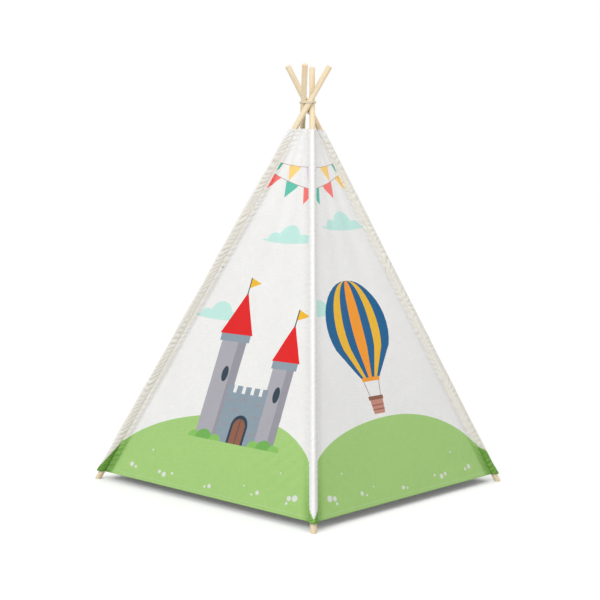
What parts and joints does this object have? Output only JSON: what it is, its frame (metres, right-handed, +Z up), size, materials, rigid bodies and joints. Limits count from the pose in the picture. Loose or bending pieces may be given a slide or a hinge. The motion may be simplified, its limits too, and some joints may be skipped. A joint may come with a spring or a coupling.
{
  "type": "kids teepee",
  "caption": "Play tent of crossing wooden poles in the corner sleeves of a printed canvas cover, with a two-flap door; it folds up like a scissor.",
  "frame": {"origin": "on the floor, at the centre of the square of pole feet", "axes": "+Z up, -Y to the front wall, +X to the right wall, +Y to the door in the back wall"},
  "size_m": [1.1474, 1.1474, 1.5944],
  "materials": {
    "pine": "sanded, unvarnished",
    "ferrule_metal": "drawn tube",
    "printed_canvas": "plain-woven cotton canvas with a print",
    "sleeve_canvas": "plain-woven cotton canvas, gathered",
    "lashing_rope": "twisted cotton cord"
  },
  "bodies": {
    "front_right": {"pole_lower_front_right": "pine", "pole_upper_front_right": "pine", "ferrule_front_right": "ferrule_metal", "sleeve_front_right": "sleeve_canvas", "front_panel": "printed_canvas", "right_panel": "printed_canvas", "lashing_cord": "lashing_rope", "lashing_knot": "lashing_rope"},
    "front_left": {"pole_lower_front_left": "pine", "pole_upper_front_left": "pine", "ferrule_front_left": "ferrule_metal", "sleeve_front_left": "sleeve_canvas", "left_panel": "printed_canvas"},
    "back_right": {"pole_lower_back_right": "pine", "pole_upper_back_right": "pine", "ferrule_back_right": "ferrule_metal", "sleeve_back_right": "sleeve_canvas", "door_header": "printed_canvas"},
    "back_left": {"pole_lower_back_left": "pine", "pole_upper_back_left": "pine", "ferrule_back_left": "ferrule_metal", "sleeve_back_left": "sleeve_canvas"},
    "door_flap_right": {"door_flap_right": "printed_canvas"},
    "door_flap_left": {"door_flap_left": "printed_canvas"}
  },
  "joints": [
    {"name": "front_fold", "type": "hinge", "parent": "front_right", "child": "front_left", "pos_m": [0.01344, 0, 1.444], "axis": [0, -0.9345, 0.3559], "range_deg": [0, 28], "deforming": ["front_panel", "lashing_cord", "lashing_knot"]},
    {"name": "right_fold", "type": "hinge", "parent": "front_right", "child": "back_right", "pos_m": [0, 0.01344, 1.444], "axis": [-0.9345, 0, -0.3559], "range_deg": [0, 28], "deforming": ["right_panel", "door_header"]},
    {"name": "left_fold", "type": "hinge", "parent": "front_left", "child": "back_left", "pos_m": [0, -0.01344, 1.444], "axis": [-0.9345, 0, 0.3559], "range_deg": [0, 28], "deforming": ["left_panel"]},
    {"name": "door_right_swing", "type": "hinge", "parent": "back_right", "child": "door_flap_right", "pos_m": [0.50985, 0.54908, 0.031], "axis": [0.3353, 0.3353, -0.8804], "range_deg": [0, 110], "deforming": ["door_flap_right"]},
    {"name": "door_left_swing", "type": "hinge", "parent": "back_left", "child": "door_flap_left", "pos_m": [-0.53372, 0.52522, 0.031], "axis": [0.3353, -0.3353, 0.8804], "range_deg": [0, 110], "deforming": ["door_flap_left"]}
  ],
  "couplings": [
    {"joint": "right_fold", "follows": "front_fold", "ratio": 1},
    {"joint": "left_fold", "follows": "front_fold", "ratio": 1}
  ]
}
